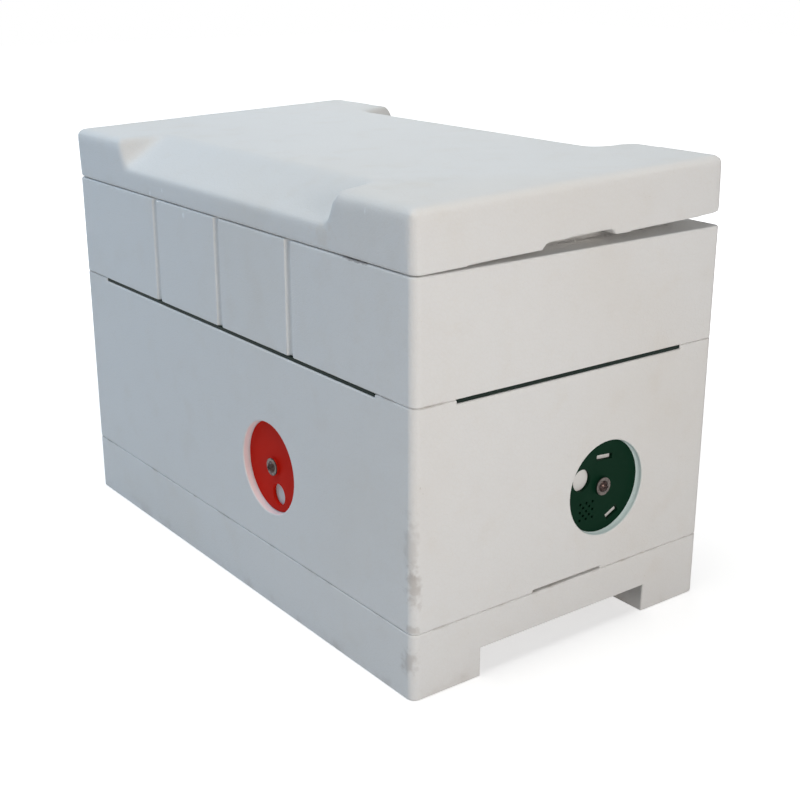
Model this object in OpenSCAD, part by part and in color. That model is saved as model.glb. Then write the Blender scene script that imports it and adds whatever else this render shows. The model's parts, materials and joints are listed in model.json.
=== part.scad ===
// A nuc box for two small colonies, moulded in expanded polystyrene and stacked from the ground up:
// floor, brood box with shallow frames, queen excluder, feeder box and lid.
// X runs across the stack, Y along it and Z up. The green entrance faces -Y and the red one -X.

/* [Frames] */
// Length of a frame over its end bars
frame_l = 435; // [380:1:480]
// Height of a frame from the top bar to the bottom bar
frame_h = 159; // [140:1:220]
// Distance from one frame to the next
frame_pitch = 37.2; // [37:0.1:40]
// How far a top bar's lug reaches past the end bar
lug_l = 17.5; // [15:0.5:22]
// Thickness of a lug
lug_t = 10; // [8:0.5:12]
// Width of a top bar
top_bar_w = 25; // [20:1:30]
// Depth of a top bar between the end bars
top_bar_t = 19; // [14:1:24]
// Thickness of an end bar
end_bar_t = 9; // [7:0.5:12]
// Width of an end bar at its spacing shoulder
shoulder_w = 36.8; // [34:0.1:37]
// Height of that shoulder
shoulder_h = 55; // [40:1:70]
// Width of an end bar below the shoulder
waist_w = 25; // [20:1:30]
// Width of a bottom bar
bottom_bar_w = 20; // [14:1:24]
// Thickness of a bottom bar
bottom_bar_t = 10; // [7:1:12]
// Thickness of a foundation sheet
foundation_t = 3; // [2:0.5:5]
// Depth of the grooves that hold the sheet in the bottom bar and the end bars
wax_groove = 3; // [2:0.5:4]

/* [Bee spaces] */
// Space between the end bars and the end walls
end_space = 7.5; // [6:0.5:10]
// Space above the top bars
top_space = 7; // [6:0.5:9]
// Space below the bottom bars, inside the brood box
bottom_space = 1; // [0.5:0.5:6]
// Slack on each side of a set of frames
side_slack = 0.45; // [0.3:0.05:2]

/* [Foam walls] */
// Thickness of the long side walls
side_wall = 35; // [32:1:48]
// Thickness of the short end walls
end_wall = 36; // [32:1:50]
// Radius of the upright outer corners
corner_r = 7; // [3:0.5:20]
// Radius of the upright inner corners
inner_r = 5; // [2:0.5:8]

/* [Seams] */
// Width of the tongue that a box carries on its rim
tongue_w = 12; // [8:1:16]
// Height of that tongue
tongue_h = 10; // [6:1:14]
// Clearance beside a tongue
tongue_gap = 0.8; // [0.4:0.1:2]
// Clearance above a tongue
tongue_head = 2; // [1:0.5:4]
// Width of the pry notch in the lid
pry_w = 70; // [40:1:100]
// Height of that notch
pry_h = 4.5; // [3:0.5:8]
// Depth of that notch into the wall
pry_d = 20; // [10:1:26]
// Height of the shallow notch under the brood box
under_notch_h = 2; // [1:0.5:4]

/* [Floor] */
// Height of the floor from the ground to its rim
floor_h = 53.5; // [45:0.5:70]
// Width of a skid
foot_w = 64; // [50:1:78]
// Height of a skid, and of the arch between the skids
foot_h = 23.5; // [15:0.5:30]
// Thickness of the deck above the arch
deck_t = 14; // [10:1:18]
// Width of the rib under the divider
rib_w = 16; // [10:1:24]
// Length of a ventilation window
window_l = 380; // [300:1:420]
// Ledge of deck around a window
window_ledge = 7; // [5:0.5:9]
// Thickness of a ventilation grille
grille_t = 2; // [1.5:0.5:4]
// Width of a grille's slot
grille_slot_w = 3.2; // [2:0.1:4]
// Distance from one grille slot to the next
grille_pitch = 8; // [6:0.5:12]

/* [Divider and rails] */
// Thickness of the divider board
divider_t = 5; // [3:0.5:8]
// Depth of the grooves that hold the divider
groove_d = 16; // [13:1:20]
// Height above the bottom at which the grooves end
groove_stop = 16; // [14:1:30]
// Thickness of a frame rail
rail_t = 2; // [1:0.5:3]
// Drop of a rail's inner leg
rail_drop = 12; // [6:1:20]

/* [Entrances] */
// Diameter of the recess for a disc
recess_dia = 77; // [70:0.5:84]
// Depth of that recess
recess_d = 9.5; // [7:0.5:12]
// Height of the recess centre above the bottom of the brood box
entrance_h = 68; // [55:1:90]
// Place of the green entrance across the front
green_x = 38.5; // [30:0.5:60]
// Place of the red entrance along the side
red_y = -68.5; // [-120:0.5:120]
// Diameter of a disc
disc_dia = 76; // [69:0.5:83]
// Thickness of a disc
disc_t = 3; // [2:0.5:4]
// Diameter of the hub round the screw
hub_dia = 15; // [12:0.5:18]
// Height of that hub above the disc
hub_t = 1.5; // [1:0.5:3]
// Diameter of the bore through the foam wall
bore_dia = 22; // [16:0.5:24]
// Distance from the screw to the bore and to the openings of the disc
ring_r = 23.4; // [21:0.1:25]
// Diameter of a disc's round opening
hole_dia = 18; // [12:0.5:20]
// Length of the green disc's excluder slot
slit_l = 16.5; // [10:0.5:20]
// Width of the green disc's excluder slot
slit_w = 4.2; // [3:0.1:5]
// Length of the green disc's narrow entrance
gate_l = 13; // [9:0.5:16]
// Width of the green disc's narrow entrance
gate_w = 5.5; // [4:0.5:7]
// Diameter of a vent hole
vent_dia = 2.4; // [1.5:0.1:3]
// Distance between vent holes of one row
vent_pitch = 6.6; // [5:0.1:8]
// Diameter of the screw's shank
shank_dia = 5; // [3:0.5:6]
// Diameter of the screw's head
head_dia = 9.5; // [7:0.5:11]
// Height of the screw's head
head_h = 2.8; // [2:0.1:4]
// Length of the cross recess in the head
cross_l = 5.2; // [3:0.1:6]
// Width of an arm of that cross
cross_w = 1.3; // [0.8:0.1:2]
// Depth of that cross
cross_d = 1.6; // [1:0.1:2]
// Diameter of the washer
washer_dia = 14.5; // [10:0.5:15]
// Thickness of the washer
washer_t = 1.2; // [0.8:0.1:2]
// Diameter of the anchor in the foam
anchor_dia = 14; // [10:0.5:18]
// Foam left behind an anchor
anchor_cover = 4.5; // [3:0.5:8]

/* [Queen excluder] */
// Thickness of the sheet
sheet_t = 2.8; // [2:0.1:4]
// Width of a slot
slot_w = 4.3; // [3.8:0.1:4.5]
// Length of a slot
slot_l = 60; // [40:1:80]
// Distance from one slot to the next, across
slot_pitch = 8.2; // [7:0.1:10]
// Bar between one row of slots and the next
slot_bar = 9; // [6:0.5:14]
// Plain border inside the walls
slot_border = 6; // [4:0.5:12]
// How far the sheet's edge lies inside the outer faces
sheet_inset = 1; // [0:0.5:4]
// Width of a corner pad, across
pad_x = 38; // [36:1:60]
// Length of a corner pad, along
pad_y = 45; // [38:1:70]
// Width of a locating peg
peg_w = 18; // [12:1:24]
// Length of a locating peg
peg_l = 22; // [12:1:26]
// Height of a locating peg
peg_h = 8; // [5:1:12]

/* [Feeder] */
// Height of the feeder box
feeder_h = 90; // [80:1:130]
// Bee space under the feeder's floor
under_space = 7; // [6:0.5:10]
// Thickness of the feeder's floor
trough_floor = 15; // [10:1:20]
// Thickness of the wall between the climbing slots
spine_w = 8; // [6:0.5:14]
// Width of a climbing slot
climb_w = 12; // [9:0.5:16]
// Length of a climbing slot
climb_l = 300; // [200:1:380]
// Thickness of the weir beside a slot
weir_t = 10; // [8:0.5:14]
// Height of the weir above the trough's floor
weir_h = 40; // [25:1:45]
// Height of the spine above the trough's floor
spine_h = 50; // [48:1:58]
// Thickness of a slot's end block
block_l = 12; // [8:1:20]
// Drinking gap between the weir and the bee guard
drink_w = 10; // [7:0.5:14]
// Thickness of a bee guard
guard_t = 2; // [1.5:0.5:3]
// Gap under a bee guard's leaf
guard_foot = 5; // [3:0.5:7]
// Radius of the grooves on the long sides
flute_r = 5; // [3:0.5:7]
// How far outside the face the centre of a groove lies
flute_out = 2; // [0:0.5:2.5]
// Distance from one groove to the next
flute_pitch = 107; // [60:1:160]

/* [Lid] */
// Height of the lid
lid_h = 45; // [40:1:60]
// Radius of the lid's upper edges
lid_edge_r = 8; // [3:0.5:12]
// Length of a hand scoop along its slope
scoop_l = 318; // [200:1:360]
// Depth of a scoop at the outer face
scoop_drop = 26; // [15:1:28]
// How far a scoop reaches into the top
scoop_in = 43; // [30:1:60]
// Lean of a scoop's end walls, in degrees
scoop_lean = 29; // [10:1:40]
// Radius at the foot of a scoop's end walls
scoop_r = 8; // [3:0.5:12]
// How far the lid stands ajar on its long edge, in degrees
lid_ajar = 1.86; // [0:0.02:3]

/* [Hidden] */
$fn = 96;
frames_per_side = 3;
frame_count = 2 * frames_per_side;
// Overrun of every cut past the face that it opens
over = 1;
// Clearances between pieces that only lie or push together
lug_gap = 2;
groove_gap = 0.3;
rail_gap = 0.5;
grille_gap = 0.5;
pad_gap = 0.5;
peg_gap = 0.6;
disc_gap = 0.3;
washer_gap = 0.1;
shank_gap = 0.05;
anchor_gap = 0.1;
guard_gap = 0.4;
sheet_gap = 0.2;
wax_gap = 0.2;
// Rounding of the pegs
peg_r = 4;
// Rows and columns of the vent field
vent_rows = 5;
vent_cols = 3;
// Angles of the openings round a disc, seen from outside
green_slit_at = 85.5;
green_hole_at = 157.5;
green_bore_at = 229.5;
green_gate_at = 296;
red_hole_at = 284.7;
red_bore_at = 212.7;
// The narrow entrance sits further out than the other openings
gate_out = 5.4;

compartment_w = frames_per_side * frame_pitch + 2 * side_slack;
inner_w = 2 * compartment_w + divider_t;
inner_l = frame_l + 2 * end_space;
box_w = inner_w + 2 * side_wall;
box_l = inner_l + 2 * end_wall;
seat_d = sheet_t + sheet_gap;
brood_h = bottom_space + frame_h + top_space + seat_d;

brood_z = floor_h;
feeder_z = brood_z + brood_h;
lid_z = feeder_z + feeder_h;
seat_z = feeder_z - seat_d;
frame_z = brood_z + bottom_space;
frame_top = frame_z + frame_h;
lug_z = frame_top - lug_t;
ledge_z = lug_z - rail_t;
ledge_d = lug_l - end_space + lug_gap;
deck_z = foot_h + deck_t;
trough_z = feeder_z + under_space + trough_floor;
weir_z = trough_z + weir_h;
spine_z = trough_z + spine_h;

window_in = rib_w / 2 + window_ledge;
window_out = box_w / 2 - foot_w - window_ledge;
climb_x = spine_w / 2 + climb_w;
weir_x = climb_x + weir_t;
guard_x = weir_x + drink_w;
island_l = climb_l + 2 * block_l;
sheet_l = box_l - 2 * pad_y;
sheet_w = box_w - 2 * pad_x;
disc_back = disc_gap - recess_d;
disc_face = disc_back + disc_t;
hub_top = disc_face + hub_t;
washer_z = hub_top + washer_gap;
head_z = washer_z + washer_t;

foam = "whitesmoke";
timber = "burlywood";
wax = "gold";
steel = "silver";

function frame_name(i, piece) = str("frame_", i, "_", piece);
// Places of the frames, from left to right, clear of the divider in the middle
function frame_x(i) =
    let (n = i - frames_per_side - 1 / 2)
    n * frame_pitch + sign(n) * (divider_t / 2 + side_slack);

FRAME_PIECES = ["top_bar", "front_end_bar", "rear_end_bar", "bottom_bar", "foundation"];

// A rectangle with round corners, about the origin
module plan(w, l, r) {
    square([w - 2 * r, l], center = true);
    square([w, l - 2 * r], center = true);
    for (x = [-1, 1], y = [-1, 1])
        translate([x * (w / 2 - r), y * (l / 2 - r)])
            circle(r);
}

// An upright prism on the outline of the stack
module stack_block(h) {
    linear_extrude(h)
        plan(box_w, box_l, corner_r);
}

// An upright prism that is larger than the inside of the walls by a margin
module inner_block(h, margin = 0) {
    linear_extrude(h)
        plan(inner_w + 2 * margin, inner_l + 2 * margin, inner_r + margin);
}

// The tongue round the inside of a rim
module tongue() {
    difference() {
        inner_block(tongue_h, tongue_w);
        translate([0, 0, -over])
            inner_block(tongue_h + 2 * over);
    }
}

// The room that a tongue takes in the box above it
module tongue_room() {
    translate([0, 0, -over])
        inner_block(tongue_h + tongue_head + over, tongue_w + tongue_gap);
}

// A box that is centred across and along, standing on the ground plane
module slab(w, l, h) {
    linear_extrude(h)
        square([w, l], center = true);
}

// An outline in the plane across the stack, drawn out along it
module along(length) {
    rotate([90, 0, 0])
        linear_extrude(length, center = true)
            children();
}

// An outline in the plane along the stack, drawn out across it
module across(width) {
    rotate([90, 0, 90])
        linear_extrude(width, center = true)
            children();
}

// Places a piece on the green entrance: its X to the right, its Y up and its Z out of the wall
module at_green() {
    translate([green_x, -box_l / 2, brood_z + entrance_h])
        rotate([90, 0, 0])
            children();
}

// Places a piece on the red entrance in the same way
module at_red() {
    translate([-box_w / 2, red_y, brood_z + entrance_h])
        rotate([90, 0, -90])
            children();
}

// Moves a piece out from the screw at an angle
module round_screw(angle, radius) {
    rotate(angle)
        translate([radius, 0, 0])
            children();
}

// Floor
module vent_window() {
    translate([window_in, -window_l / 2, 0])
        cube([window_out - window_in, window_l, deck_z + over]);
    translate([window_in - window_ledge, -window_l / 2 - window_ledge, deck_z - grille_t])
        cube([window_out - window_in + 2 * window_ledge, window_l + 2 * window_ledge, grille_t + over]);
}

module floor_tray() {
    color(foam)
    difference() {
        union() {
            stack_block(floor_h);
            translate([0, 0, floor_h])
                tongue();
        }
        translate([0, 0, -over])
            slab(box_w - 2 * foot_w, box_l + 2 * over, foot_h + over);
        difference() {
            translate([0, 0, deck_z])
                inner_block(floor_h);
            slab(rib_w, box_l, floor_h);
        }
        for (side = [0, 1])
            mirror([side, 0, 0])
                vent_window();
    }
}

module vent_grille(side) {
    plate_w = window_out - window_in + 2 * (window_ledge - grille_gap);
    plate_l = window_l + 2 * (window_ledge - grille_gap);
    slot_count = floor(window_l / grille_pitch);
    color("dimgray")
    translate([side * (window_in + window_out) / 2, 0, deck_z - grille_t])
        linear_extrude(grille_t)
            difference() {
                square([plate_w, plate_l], center = true);
                for (i = [1 : slot_count])
                    translate([0, (i - (slot_count + 1) / 2) * grille_pitch])
                        square([window_out - window_in, grille_slot_w], center = true);
            }
}

// Brood box
module entrance_cut(wall, bore_at) {
    translate([0, 0, -recess_d])
        cylinder(h = recess_d + over, d = recess_dia);
    round_screw(bore_at, ring_r)
        translate([0, 0, -wall - over])
            cylinder(h = wall + over, d = bore_dia);
    translate([0, 0, anchor_cover - wall])
        cylinder(h = wall, d = anchor_dia + 2 * anchor_gap);
}

module excluder_seat() {
    translate([0, 0, seat_z]) {
        slab(box_w + 2 * over, sheet_l, seat_d + over);
        slab(sheet_w, box_l + 2 * over, seat_d + over);
    }
}

// The locating pegs on the brood box, or with a gap the sockets that take them
module pegs(gap, rise) {
    peg_x = (box_w - side_wall) / 2;
    peg_y = (box_l - end_wall) / 2;
    for (x = [-peg_x, peg_x], y = [-peg_y, peg_y])
        translate([x, y, 0])
            linear_extrude(peg_h + rise)
                plan(peg_w + 2 * gap, peg_l + 2 * gap, peg_r + gap);
}

module frame_ledges() {
    translate([0, 0, ledge_z])
        slab(inner_w, inner_l + 2 * ledge_d, brood_h);
}

module divider_grooves() {
    translate([0, 0, brood_z + groove_stop])
        slab(divider_t + 2 * groove_gap, inner_l + 2 * groove_d, brood_h);
}

module brood_box() {
    color(foam)
    difference() {
        translate([0, 0, brood_z])
            union() {
                stack_block(brood_h);
                translate([0, 0, brood_h])
                    pegs(0, 0);
            }
        translate([0, 0, brood_z - over])
            inner_block(brood_h + 2 * over);
        translate([0, 0, brood_z])
            tongue_room();
        excluder_seat();
        frame_ledges();
        divider_grooves();
        at_green()
            entrance_cut(end_wall, green_bore_at);
        at_red()
            entrance_cut(side_wall, red_bore_at);
        for (y = [-1, 1])
            translate([0, y * (box_l - pry_d) / 2, brood_z - over])
                slab(pry_w, pry_d + over, under_notch_h + over);
    }
}

module frame_rail(x_side, y_side) {
    wall_y = inner_l / 2;
    back_y = wall_y + ledge_d - rail_gap;
    rail_l = compartment_w - inner_r - rail_gap;
    mid_x = divider_t / 2 + rail_gap + rail_l / 2;
    color("lightgray")
    mirror([0, y_side < 0 ? 1 : 0, 0])
        translate([x_side * mid_x, 0, ledge_z])
            across(rail_l)
                polygon([
                    [wall_y - rail_t, rail_t],
                    [wall_y - rail_t, -rail_drop],
                    [wall_y, -rail_drop],
                    [wall_y, 0],
                    [back_y, 0],
                    [back_y, rail_t]
                ]);
}

module divider_board() {
    narrow = inner_l / 2 - groove_gap;
    wide = inner_l / 2 + groove_d - groove_gap;
    top_h = brood_h - seat_d;
    color(timber)
    translate([0, 0, brood_z])
        across(divider_t)
            polygon([
                [-narrow, 0],
                [narrow, 0],
                [narrow, groove_stop],
                [wide, groove_stop],
                [wide, top_h],
                [-wide, top_h],
                [-wide, groove_stop],
                [-narrow, groove_stop]
            ]);
}

// Entrance discs and what holds them
module disc_blank() {
    difference() {
        union() {
            translate([0, 0, disc_back])
                cylinder(h = disc_t, d = disc_dia);
            translate([0, 0, disc_back])
                cylinder(h = disc_t + hub_t, d = hub_dia);
        }
        translate([0, 0, disc_back - over])
            cylinder(h = disc_t + hub_t + 2 * over, d = shank_dia + 2 * shank_gap);
    }
}

// A cut through a disc, drawn as an outline
module disc_cut() {
    translate([0, 0, disc_back - over])
        linear_extrude(disc_t + 2 * over)
            children();
}

// A staggered field of small round holes that stays level whichever way the disc is turned
module vent_field(angle) {
    round_screw(angle, ring_r)
        rotate(-angle)
            for (row = [1 : vent_rows]) {
                cols = vent_cols - (row + 1) % 2;
                for (col = [1 : cols])
                    translate([(col - (cols + 1) / 2) * vent_pitch, (row - (vent_rows + 1) / 2) * vent_pitch / 2])
                        circle(d = vent_dia);
            }
}

// A narrow opening square to the radius
module ring_slot(angle, radius, length, width) {
    round_screw(angle, radius)
        square([width, length], center = true);
}

module green_entrance_disc() {
    color("darkgreen")
    at_green()
        difference() {
            disc_blank();
            disc_cut() {
                round_screw(green_hole_at, ring_r)
                    circle(d = hole_dia);
                ring_slot(green_slit_at, ring_r, slit_l, slit_w);
                ring_slot(green_gate_at, ring_r + gate_out, gate_l, gate_w);
                vent_field(green_bore_at);
            }
        }
}

module red_entrance_disc() {
    color("orangered")
    at_red()
        difference() {
            disc_blank();
            disc_cut()
                round_screw(red_hole_at, ring_r)
                    circle(d = hole_dia);
        }
}

module disc_washer() {
    color(steel)
    translate([0, 0, washer_z])
        difference() {
            cylinder(h = washer_t, d = washer_dia);
            translate([0, 0, -over])
                cylinder(h = washer_t + 2 * over, d = shank_dia + 2 * shank_gap);
        }
}

// A domed head with a cross recess, on a plain shank that ends short of the anchor's floor
module disc_screw(wall) {
    shank_end = 2 * anchor_cover - wall;
    color(steel)
    difference() {
        rotate_extrude() {
            translate([0, shank_end])
                square([shank_dia / 2, head_z - shank_end]);
            translate([0, head_z])
                intersection() {
                    square([head_dia / 2, head_h]);
                    translate([0, head_h - dome_r()])
                        circle(dome_r());
                }
        }
        translate([0, 0, head_z + head_h - cross_d])
            for (turn = [0, 90])
                rotate(turn)
                    slab(cross_l, cross_w, cross_d + over);
    }
}

// Radius of the dome that spans the head's width in the head's height
function dome_r() = (pow(head_dia / 2, 2) + pow(head_h, 2)) / (2 * head_h);

module disc_anchor(wall) {
    bottom = anchor_cover - wall;
    shank_end = 2 * anchor_cover - wall;
    color("ivory")
    difference() {
        translate([0, 0, bottom])
            cylinder(h = -recess_d - bottom, d = anchor_dia);
        translate([0, 0, shank_end])
            cylinder(h = wall, d = shank_dia + 2 * shank_gap);
    }
}

// Queen excluder
module slot_field() {
    rows = floor((inner_l - 2 * slot_border + slot_bar) / (slot_l + slot_bar));
    cols = floor((compartment_w - 2 * slot_border) / slot_pitch);
    mid_x = (divider_t + compartment_w) / 2;
    for (row = [1 : rows], col = [1 : cols])
        translate([
            mid_x + (col - (cols + 1) / 2) * slot_pitch,
            (row - (rows + 1) / 2) * (slot_l + slot_bar)
        ])
            square([slot_w, slot_l], center = true);
}

module queen_excluder() {
    color("darkslategray")
    translate([0, 0, seat_z])
        linear_extrude(sheet_t)
            difference() {
                union() {
                    square([box_w - 2 * sheet_inset, sheet_l - 2 * pad_gap], center = true);
                    square([sheet_w - 2 * pad_gap, box_l - 2 * sheet_inset], center = true);
                }
                for (side = [0, 1])
                    mirror([side, 0])
                        slot_field();
            }
}

// Feeder box
module feeder_trough() {
    difference() {
        translate([0, 0, trough_z])
            inner_block(feeder_h + tongue_h);
        slab(2 * weir_x, island_l, spine_z);
    }
}

// A climbing slot, the lowered weir beside it and the bee space under them
module climbing_slot() {
    translate([spine_w / 2, -climb_l / 2, feeder_z])
        cube([climb_w, climb_l, feeder_h]);
    translate([spine_w / 2, -climb_l / 2, weir_z])
        cube([climb_w + weir_t + over, climb_l, feeder_h]);
    translate([spine_w / 2, -inner_l / 2, feeder_z - over])
        cube([inner_w / 2 - spine_w / 2, inner_l, under_space + over]);
}

module flutes() {
    for (x = [-1, 1], y = [-flute_pitch, 0, flute_pitch])
        translate([x * (box_w / 2 + flute_out), y, feeder_z - over])
            cylinder(h = feeder_h + 2 * over, r = flute_r);
}

module feeder_box() {
    color(foam)
    difference() {
        translate([0, 0, feeder_z])
            union() {
                stack_block(feeder_h);
                translate([0, 0, feeder_h])
                    tongue();
            }
        feeder_trough();
        for (side = [0, 1])
            mirror([side, 0, 0])
                climbing_slot();
        translate([0, 0, feeder_z - over])
            pegs(peg_gap, peg_gap + over);
        flutes();
    }
}

// A cover that rests on the spine and hangs a leaf into the trough
module bee_guard(side) {
    leaf_z = trough_z + guard_foot;
    top_z = spine_z + guard_t;
    cheek_y = island_l / 2 + guard_gap;
    color("aliceblue")
    mirror([side < 0 ? 1 : 0, 0, 0])
        union() {
            along(2 * (cheek_y + guard_t))
                polygon([
                    [guard_gap, spine_z],
                    [guard_x, spine_z],
                    [guard_x, leaf_z],
                    [guard_x + guard_t, leaf_z],
                    [guard_x + guard_t, top_z],
                    [guard_gap, top_z]
                ]);
            for (y = [-cheek_y - guard_t, cheek_y])
                translate([spine_w, y, leaf_z])
                    cube([guard_x + guard_t - spine_w, guard_t, top_z - leaf_z]);
        }
}

// Lid
module lid_block() {
    intersection() {
        stack_block(lid_h);
        along(box_l)
            edge_outline(box_w);
        across(box_w)
            edge_outline(box_l);
    }
}

// A side view of the lid with its upper corners rounded
module edge_outline(width) {
    translate([-width / 2, 0])
        square([width, lid_h - lid_edge_r]);
    translate([lid_edge_r - width / 2, 0])
        square([width - 2 * lid_edge_r, lid_h]);
    for (x = [-1, 1])
        translate([x * (width / 2 - lid_edge_r), lid_h - lid_edge_r])
            circle(lid_edge_r);
}

// The outline of a scoop seen up its slope: a flat foot, round at both ends, between leaning walls
module scoop_outline() {
    half = scoop_l / 2;
    tangent = scoop_r * tan((90 - scoop_lean) / 2);
    rise = scoop_in;
    for (side = [0, 1])
        mirror([side, 0]) {
            polygon([
                [0, 0],
                [half - tangent, 0],
                [half + tangent * sin(scoop_lean), tangent * cos(scoop_lean)],
                [half + rise * tan(scoop_lean), rise],
                [0, rise]
            ]);
            translate([half - tangent, scoop_r])
                circle(scoop_r);
        }
}

module scoop() {
    slope = atan(scoop_drop / scoop_in);
    reach = 2 * norm([scoop_in, scoop_drop]);
    translate([box_w / 2, 0, lid_h - scoop_drop])
        rotate([0, slope, 0])
            across(2 * reach)
                scoop_outline();
}

module lid() {
    pivot = [-box_w / 2, 0, lid_z];
    color(foam)
    translate(pivot)
        rotate([0, -lid_ajar, 0])
            translate([box_w / 2, 0, 0])
                difference() {
                    lid_block();
                    tongue_room();
                    for (side = [0, 1])
                        mirror([side, 0, 0])
                            scoop();
                    translate([0, (pry_d - box_l) / 2, -over])
                        slab(pry_w, pry_d + over, pry_h + over);
                }
}

// Frames
module top_bar(i) {
    end_y = frame_l / 2 + lug_l;
    neck_y = frame_l / 2 - end_bar_t;
    color(timber)
    translate([frame_x(i), 0, frame_top])
        across(top_bar_w)
            polygon([
                [-end_y, 0],
                [-end_y, -lug_t],
                [-neck_y, -lug_t],
                [-neck_y, -top_bar_t],
                [neck_y, -top_bar_t],
                [neck_y, -lug_t],
                [end_y, -lug_t],
                [end_y, 0]
            ]);
}

module end_bar(i, side) {
    bar_h = frame_h - lug_t;
    taper = (shoulder_w - waist_w) / 2;
    color(timber)
    difference() {
        translate([frame_x(i), side * (frame_l - end_bar_t) / 2, frame_z])
            along(end_bar_t)
                polygon([
                    [-waist_w / 2, 0],
                    [waist_w / 2, 0],
                    [waist_w / 2, bar_h - shoulder_h - taper],
                    [shoulder_w / 2, bar_h - shoulder_h],
                    [shoulder_w / 2, bar_h],
                    [-shoulder_w / 2, bar_h],
                    [-shoulder_w / 2, bar_h - shoulder_h],
                    [-waist_w / 2, bar_h - shoulder_h - taper]
                ]);
        wax_room(i);
    }
}

// The grooves of one frame, as the room of its sheet with clearance beside it
module wax_room(i) {
    translate([frame_x(i), 0, frame_z + bottom_bar_t - wax_groove])
        slab(foundation_t + 2 * wax_gap, bay_l() + 2 * wax_groove, bay_h() + wax_groove);
}

// Length and height of the space between a frame's bars
function bay_l() = frame_l - 2 * end_bar_t;
function bay_h() = frame_h - top_bar_t - bottom_bar_t;

module bottom_bar(i) {
    color(timber)
    difference() {
        translate([frame_x(i), 0, frame_z])
            slab(bottom_bar_w, bay_l(), bottom_bar_t);
        wax_room(i);
    }
}

module foundation(i) {
    color(wax)
    translate([frame_x(i), 0, frame_z + bottom_bar_t - wax_groove])
        slab(foundation_t, bay_l() + 2 * (wax_groove - wax_gap), bay_h() + wax_groove);
}

floor_tray();
vent_grille(-1);  // left_vent_grille
vent_grille(1);  // right_vent_grille
brood_box();
frame_rail(-1, -1);  // front_left_rail
frame_rail(1, -1);  // front_right_rail
frame_rail(-1, 1);  // rear_left_rail
frame_rail(1, 1);  // rear_right_rail
divider_board();
red_entrance_disc();
at_red() disc_washer();  // red_disc_washer
at_red() disc_screw(side_wall);  // red_disc_screw
at_red() disc_anchor(side_wall);  // red_disc_anchor
green_entrance_disc();
at_green() disc_washer();  // green_disc_washer
at_green() disc_screw(end_wall);  // green_disc_screw
at_green() disc_anchor(end_wall);  // green_disc_anchor
queen_excluder();
feeder_box();
bee_guard(-1);  // left_bee_guard
bee_guard(1);  // right_bee_guard
lid();
for (i = [1 : frame_count]) {
    top_bar(i);
    end_bar(i, -1);
    end_bar(i, 1);
    bottom_bar(i);
    foundation(i);
}
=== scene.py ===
"""Dresses a bead-foam nuc box for two bee colonies: softened foam, finishes, studio and camera.

Every size is in metres, apart from the millimetres that spot() takes, and every place is in the
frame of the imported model: X runs across the stack, Y along it and Z up. The green entrance faces
-Y and the red one -X.
"""

import json
import logging
import math
from dataclasses import dataclass
from enum import Enum
from functools import lru_cache
from typing import Any, Iterable, Mapping, Sequence, Union

import bmesh
import bpy
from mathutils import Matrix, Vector, noise


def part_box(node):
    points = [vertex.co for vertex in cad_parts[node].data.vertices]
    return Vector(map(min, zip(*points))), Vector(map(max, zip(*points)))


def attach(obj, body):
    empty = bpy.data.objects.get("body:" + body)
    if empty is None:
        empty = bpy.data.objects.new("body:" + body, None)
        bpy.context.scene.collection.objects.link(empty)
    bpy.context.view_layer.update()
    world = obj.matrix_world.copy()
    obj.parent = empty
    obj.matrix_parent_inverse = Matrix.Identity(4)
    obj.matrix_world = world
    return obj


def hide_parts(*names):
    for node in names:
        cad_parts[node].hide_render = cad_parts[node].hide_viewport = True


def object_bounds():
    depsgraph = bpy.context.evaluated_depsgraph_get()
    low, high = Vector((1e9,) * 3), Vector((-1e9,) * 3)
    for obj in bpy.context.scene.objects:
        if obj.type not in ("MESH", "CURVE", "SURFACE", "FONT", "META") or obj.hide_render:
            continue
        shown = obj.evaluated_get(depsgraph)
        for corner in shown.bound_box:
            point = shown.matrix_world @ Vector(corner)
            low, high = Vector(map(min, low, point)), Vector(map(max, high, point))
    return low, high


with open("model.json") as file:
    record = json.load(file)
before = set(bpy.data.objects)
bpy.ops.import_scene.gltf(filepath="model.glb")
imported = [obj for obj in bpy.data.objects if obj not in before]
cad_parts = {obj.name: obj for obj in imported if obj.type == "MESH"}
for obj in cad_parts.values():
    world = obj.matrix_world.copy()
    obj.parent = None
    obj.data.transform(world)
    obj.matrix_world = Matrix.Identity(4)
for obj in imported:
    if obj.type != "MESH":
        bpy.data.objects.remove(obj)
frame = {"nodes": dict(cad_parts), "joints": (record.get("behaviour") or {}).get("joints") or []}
CAD_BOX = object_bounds()
MM = 0.001

log = logging.getLogger("nuc_box")

Colour = tuple[float, float, float]
Point = tuple[float, float, float]
Span = tuple[float, float]

WHITE: Colour = (1.0, 1.0, 1.0)
BLACK: Colour = (0.0, 0.0, 0.0)
EVEN: Point = (1.0, 1.0, 1.0)


def spot(x: float, y: float, z: float) -> Point:
    """A place or a reach, from millimetres."""
    return (x * MM, y * MM, z * MM)


class Slot(Enum):
    """The record's material slots, as the finishes name them."""

    FOAM = "foam"
    RED_PLASTIC = "red_plastic"
    GREEN_PLASTIC = "green_plastic"
    STEEL = "steel"
    ANCHOR = "anchor"
    RAIL = "rail"
    BOARD = "board"
    GRILLE = "grille"
    EXCLUDER = "excluder"
    GUARD = "guard"
    TIMBER = "timber"
    WAX = "wax"


class Body(Enum):
    """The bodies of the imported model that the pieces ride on."""

    FLOOR = "floor"
    BROOD = "brood"
    RED_DISC = "red_disc"
    GREEN_DISC = "green_disc"
    FRAMES = "frames"
    DIVIDER = "divider"
    EXCLUDER = "excluder"
    FEEDER = "feeder"
    GUARDS = "guards"
    LID = "lid"


class Grain(Enum):
    """The way that a wooden piece's fibres run, as its pattern's stretch along X, Y and Z."""

    ALONG = (1.0, 0.06, 1.0)
    UPRIGHT = (1.0, 1.0, 0.06)


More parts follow.
